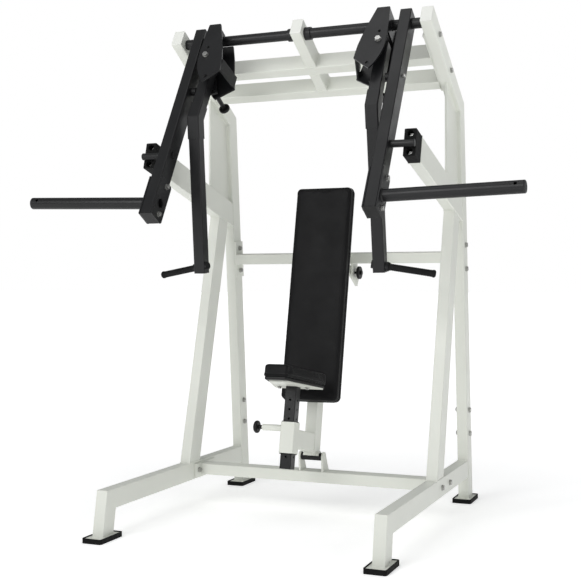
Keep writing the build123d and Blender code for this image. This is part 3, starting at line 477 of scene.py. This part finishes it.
# The seat pad's outline runs in the seat frame's X and Y, and its thickness along Z. It narrows to its nose.
SEAT_NOSE, SEAT_REAR, NOSE_HALF, REAR_HALF = -498 * MM, -205 * MM, 51 * MM, 120 * MM
SEAT_LOW, SEAT_BOARD_TOP, SEAT_FLAT, SEAT_TOP = 283 * MM, 294 * MM, 344 * MM, 349 * MM
PAD_HALF = 117.4 * MM   # the pad's half width once its rear corners are rounded
seat_corners = [(-NOSE_HALF, SEAT_NOSE), (NOSE_HALF, SEAT_NOSE),
                (REAR_HALF, SEAT_REAR), (-REAR_HALF, SEAT_REAR)]
seat_board = slab("seat_board", inset_corners(seat_corners, 4 * MM), 7 * MM, SEAT_LOW, SEAT_BOARD_TOP, 2 * MM,
                  SEAT, PLASTIC)
finish_piece(seat_board, "seat_lift", "black_plastic")
seat_cushion = slab("seat_cushion", inset_corners(seat_corners, 2.5 * MM), 9 * MM, SEAT_BOARD_TOP, SEAT_FLAT,
                    6 * MM, SEAT, VINYL, low_edge=LOW_EDGE)
inflate(seat_cushion, SEAT, SEAT_BOARD_TOP, CROWN_CAP)
fit(seat_cushion, SEAT, (-PAD_HALF, SEAT_NOSE, SEAT_BOARD_TOP), (PAD_HALF, SEAT_REAR, SEAT_TOP))
finish_piece(seat_cushion, "seat_lift", "vinyl", "seat_pad")
seam("seat", seat_cushion, seat_corners, 10 * MM, 303 * MM, SEAT, "seat_lift")


def hex_bolt(name, head, direction, across, thick, body, washer):
    """Hex head with a chamfered rim, on a round washer."""
    axis = Vector(direction).normalized()
    r = across / math.sqrt(3)
    verts = []
    for along, radius in ((0.0, r), (thick * 0.78, r), (thick, r * 0.86)):
        verts += circle(Vector(head) + axis * (along + washer), axis, radius, 6)
    bolt = new_mesh(name, verts, skin(3, 6), ZINC, smooth=False)
    finish_piece(bolt, body, "zinc")
    rim = [(0, across * 0.8), (washer * 0.8, across * 0.8), (washer, across * 0.76)]
    ring = lathe(name + "_washer", head, axis, rim, ZINC, segments=28)
    finish_piece(ring, body, "zinc")


# steel tabs that hold the back board to the back post, in millimetres of the back pad's frame
TAB_HEIGHTS, TAB_HALF = (400, 700, 1000), 20
TAB_IN, TAB_BOLT, TAB_OUT, TAB_REAR = 25, 46, 62, 46.5
BOLT_ACROSS, BOLT_HEAD, BOLT_WASHER = 13 * MM, 5.5 * MM, 1.6 * MM
rearward = -(BACK.to_3x3() @ Vector((0, 0, 1)))
for row, height in enumerate(TAB_HEIGHTS):
    low, high = (height - TAB_HALF) * MM, (height + TAB_HALF) * MM
    for sign, tag in ((1, "right"), (-1, "left")):
        lo, hi = sorted((sign * TAB_IN * MM, sign * TAB_OUT * MM))
        tab_corners = [(lo, low), (hi, low), (hi, high), (lo, high)]
        tab = slab(f"back_tab_{row}_{tag}", tab_corners, 4 * MM, TAB_REAR * MM, BACK_REAR, 0.8 * MM,
                   BACK, WHITE)
        finish_piece(tab, "seat_unit", "white_paint")
        spot = BACK @ Vector((sign * TAB_BOLT * MM, height * MM, TAB_REAR * MM))
        hex_bolt(f"back_tab_bolt_{row}_{tag}", spot, rearward, BOLT_ACROSS, BOLT_HEAD,
                 "seat_unit", washer=BOLT_WASHER)


# ---------------------------------------------------------------- hand grips
def long_axis(node):
    """(start, end) of a long round node's axis, from its vertices."""
    points = vertex_rows(nodes[node].data)
    centre = points.mean(axis=0)
    axis = np.linalg.svd(points - centre, full_matrices=False)[2][0]
    along = (points - centre) @ axis
    ends = [centre + axis * along.min(), centre + axis * along.max()]
    ends.sort(key=lambda p: abs(p[0]))
    rim = points[np.abs((points - ends[0]) @ (axis * np.sign((ends[1] - ends[0]) @ axis))) < 0.002]
    mid = (rim.max(axis=0) + rim.min(axis=0)) / 2
    far = mid + (ends[1] - ends[0])
    return Vector(mid), Vector(far)


def grip_profile(length, radius):
    """Rubber grip: an inner flange, shallow rings along it and a rounded end."""
    profile = [(0, radius * 0.8), (0, radius + 0.0035), (0.003, radius + 0.0045), (0.006, radius + 0.003),
               (0.009, radius)]
    at = 0.014
    while at < length - 0.022:
        profile += [(at, radius), (at + 0.0012, radius - 0.0011), (at + 0.0030, radius - 0.0011),
                    (at + 0.0042, radius)]
        at += 0.0085
    profile += [(length - 0.014, radius), (length - 0.012, radius + 0.0015),
                (length - 0.006, radius + 0.0015), (length - 0.0025, radius - 0.001), (length, radius * 0.7)]
    return profile


GRIP_RADIUS = 14.5 * MM
for side in ("right", "left"):
    start, end = long_axis("hand_grip_" + side)
    profile = grip_profile((end - start).length, GRIP_RADIUS)
    grip = lathe("grip_" + side, start, end - start, profile, GRIP, segments=44)
    finish_piece(grip, "handle_" + side, "grip_rubber", "hand_grip_" + side)


# ---------------------------------------------------------------- weld beads
ON_PLANE, RIPPLE_STEP = 0.0004, 0.0019
FOOT_TOP, RAIL_TOP = 0.016, 0.196
UPRIGHT_LEAN, STOP_ARM_SLOPE, HEAD_SLOPE = math.radians(5), math.radians(15), math.radians(30)
LEVEL = (0, 0, 1)
ON_UPRIGHT = ((0, 0.604, RAIL_TOP), (0, math.cos(UPRIGHT_LEAN), math.sin(UPRIGHT_LEAN)))
UNDER_STOP_ARM = ((0, 0.498, 1.306), (0, math.sin(STOP_ARM_SLOPE), math.cos(STOP_ARM_SLOPE)))
HEAD_DIR = Vector((0, math.cos(HEAD_SLOPE), -math.sin(HEAD_SLOPE)))
HEAD_POINT = Vector((0, -46, 2098)) * MM
HEAD_BAR_END_X, GUSSET_X, GUSSET_THICK = 0.547, 0.576, 0.008
SHAFT_SLEEVE_R = 22.5 * MM

# places of welds in millimetres: down the head tubes, along the seat link and along the shaft
HEAD_BARS, BRACKET_WELDS, LINK_ENDS, SLEEVE_WELDS = (220, 380), (220, 270, 380), (-257, -51), (420, 457)


def on_plane(node, point, normal, keep=None):
    """Convex outline of a node's vertices on a plane, as points in order."""
    points = vertex_rows(nodes[node].data)
    normal = np.array(Vector(normal).normalized())
    near = points[np.abs((points - np.array(point)) @ normal) < ON_PLANE]
    if keep is not None:
        near = near[[bool(keep(p)) for p in near]]
    e1 = np.array(Vector(normal).orthogonal().normalized())
    e2 = np.cross(normal, e1)
    flat = sorted({(round(float(p @ e1), 6), round(float(p @ e2), 6)) for p in near})

    def half(seq):
        """One side of the convex hull."""
        out = []
        for p in seq:
            while len(out) > 1 and ((out[-1][0] - out[-2][0]) * (p[1] - out[-2][1])
                                    - (out[-1][1] - out[-2][1]) * (p[0] - out[-2][0])) <= 0:
                out.pop()
            out.append(p)
        return out[:-1]

    hull = half(flat) + half(flat[::-1])
    base = normal * float(np.array(point) @ normal)
    return [Vector(e1 * a + e2 * b + base) for a, b in hull]


def beads(name, loops, body, material, slot_name, radius=0.0026):
    """Rippled weld beads along (points, closed) paths, as one piece."""
    curve = new_curve(name, radius, 2, material)
    curve.use_fill_caps = True
    for loop, closed in loops:
        if len(loop) > 2:
            spline = add_spline(curve, resample(loop, RIPPLE_STEP, closed), closed)
            for k, point in enumerate(spline.points):
                point.radius = 1.0 + 0.13 * math.sin(k * math.pi / 1.5)
    finish_piece(add_object(name, curve), body, slot_name)


def head_bar_end(sign, along):
    """Outline of a head crossbar's end, along millimetres down the head tubes."""
    middle = HEAD_POINT + HEAD_DIR * ((along + 25) * MM)

    def near_bar(p):
        return abs((Vector(p) - middle).dot(HEAD_DIR)) < 0.03

    return on_plane("head_crossbars", (sign * HEAD_BAR_END_X, 0, 0), (1, 0, 0), near_bar)


def gusset_edges(sign):
    """A gusset plate's outline on both of its faces, left open along its front."""
    plate = on_plane("gusset_plates", (sign * GUSSET_X, 0, 0), (1, 0, 0))
    edges = []
    for offset in (0.0, sign * GUSSET_THICK):
        edge = [p + Vector((offset, 0, 0)) for p in plate]
        limit = min(p.y for p in edge) + 0.001
        first = next(k for k in range(len(edge)) if edge[k].y < limit and edge[k - 1].y < limit)
        edges.append(edge[first:] + edge[:first])
    return edges


def side_welds(sign, side):
    """Weld paths of one side frame."""
    def same_side(p):
        return p[0] * sign > 0

    outlines = [
        on_plane("front_posts", (0, 0, FOOT_TOP), LEVEL, same_side),
        on_plane("rear_upright_" + side, (0, 0, FOOT_TOP), LEVEL),
        on_plane("diagonal_leg_" + side, (0, 0, RAIL_TOP), LEVEL),
        on_plane("base_rail_" + side, *ON_UPRIGHT),
        on_plane("stop_arm_" + side, *ON_UPRIGHT),
        on_plane("diagonal_leg_" + side, *UNDER_STOP_ARM),
        *[head_bar_end(sign, along) for along in HEAD_BARS],
    ]
    return [(outline, True) for outline in outlines] + [(edge, False) for edge in gusset_edges(sign)]


loops = side_welds(1, "right") + side_welds(-1, "left")
for along in BRACKET_WELDS:
    loops.append((on_plane("centre_bracket", HEAD_POINT + HEAD_DIR * (along * MM), HEAD_DIR), True))
beads("frame_welds", loops, "frame", WHITE, "white_paint")

seat_y = SEAT.to_3x3() @ Vector((0, 1, 0))
link_ends = [on_plane("seat_link", SEAT @ Vector((0, y * MM, 0)), seat_y) for y in LINK_ENDS]
beads("seat_welds", [(end, True) for end in link_ends], "seat_unit", WHITE, "white_paint", radius=0.0024)

for sign, side in ((1, "right"), (-1, "left")):
    centres = [(sign * x * MM, SHAFT.y, SHAFT.z) for x in SLEEVE_WELDS]
    rings = [circle(centre, Vector((1, 0, 0)), SHAFT_SLEEVE_R, 48) for centre in centres]
    beads("yoke_welds_" + side, [(ring, True) for ring in rings], "press_" + side, BLACK, "black_paint")


# ---------------------------------------------------------------- floor, light and camera
def white_surroundings(scene):
    """A soft dome that lights the scene and shows as plain white behind it."""
    world = bpy.data.worlds.new("studio")
    world.use_nodes = True
    tree = world.node_tree
    dome = tree.nodes["Background"]
    dome.inputs["Color"].default_value = (0.97, 0.985, 1.0, 1)
    dome.inputs["Strength"].default_value = 0.31
    backdrop = tree.nodes.new("ShaderNodeBackground")
    backdrop.inputs["Color"].default_value = (1, 1, 1, 1)
    backdrop.inputs["Strength"].default_value = 1.0
    path = tree.nodes.new("ShaderNodeLightPath")
    mixer = tree.nodes.new("ShaderNodeMixShader")
    tree.links.new(path.outputs["Is Camera Ray"], mixer.inputs["Fac"])
    tree.links.new(dome.outputs["Background"], mixer.inputs[1])
    tree.links.new(backdrop.outputs["Background"], mixer.inputs[2])
    tree.links.new(mixer.outputs["Shader"], tree.nodes["World Output"].inputs["Surface"])
    scene.world = world


def pale_floor():
    """A white floor that glows more the further it is from the machine, so that it meets the backdrop."""
    material, tree, bsdf = shader("floor", 0.6, (0.93, 0.93, 0.93), specular=0.15)
    bsdf.inputs["Emission Color"].default_value = (1, 1, 1, 1)
    coords = tree.nodes.new("ShaderNodeTexCoord")
    length = tree.nodes.new("ShaderNodeVectorMath")
    length.operation = "LENGTH"
    tree.links.new(coords.outputs["Object"], length.inputs[0])
    reach = tree.nodes.new("ShaderNodeMapRange")
    reach.inputs["From Min"].default_value = 0.6
    reach.inputs["From Max"].default_value = 6.0
    reach.inputs["To Min"].default_value = 0.37
    reach.inputs["To Max"].default_value = 0.88
    tree.links.new(length.outputs["Value"], reach.inputs["Value"])
    tree.links.new(reach.outputs["Result"], bsdf.inputs["Emission Strength"])
    near, far = 40.0, 120.0
    corners = [(-far, -near, 0), (far, -near, 0), (far, far, 0), (-far, far, 0)]
    floor = new_mesh("floor", corners, [(0, 1, 2, 3)], material, smooth=False)


def lamps():
    """Area lights: name, place, size in metres and power in watts. All face the machine's middle."""
    for name, place, size, power in (
        ("key", (-1.6, -5.2, 3.6), 3.2, 140),
        ("fill", (4.8, -2.6, 2.6), 3.0, 40),
        ("back", (1.0, 4.0, 3.6), 3.0, 25),
        ("top", (0.0, -1.6, 6.5), 3.6, 60),
    ):
        data = bpy.data.lights.new(name, "AREA")
        data.size = size
        data.energy = power
        lamp = add_object(name, data)
        lamp.location = place
        lamp.rotation_euler = (Vector((0, 0, 1.0)) - Vector(place)).to_track_quat("-Z", "Y").to_euler()


def add_camera(scene):
    """The camera, about a metre up, in front of the machine and to its right."""
    data = bpy.data.cameras.new("camera")
    data.sensor_width = 36
    data.lens = 65.39
    data.shift_y = -0.0309
    data.clip_end = 500
    camera = add_object("camera", data)
    camera.location = (1.7219, -4.283, 1.0159)
    yaw, pitch = math.radians(22.36), math.radians(0.56)
    look = Vector((-math.sin(yaw) * math.cos(pitch), math.cos(yaw) * math.cos(pitch), math.sin(pitch)))
    camera.rotation_euler = look.to_track_quat("-Z", "Y").to_euler()
    scene.camera = camera


stage = bpy.context.scene
white_surroundings(stage)
pale_floor()
lamps()
stage.view_settings.view_transform = "Standard"
stage.view_settings.look = "None"
add_camera(stage)
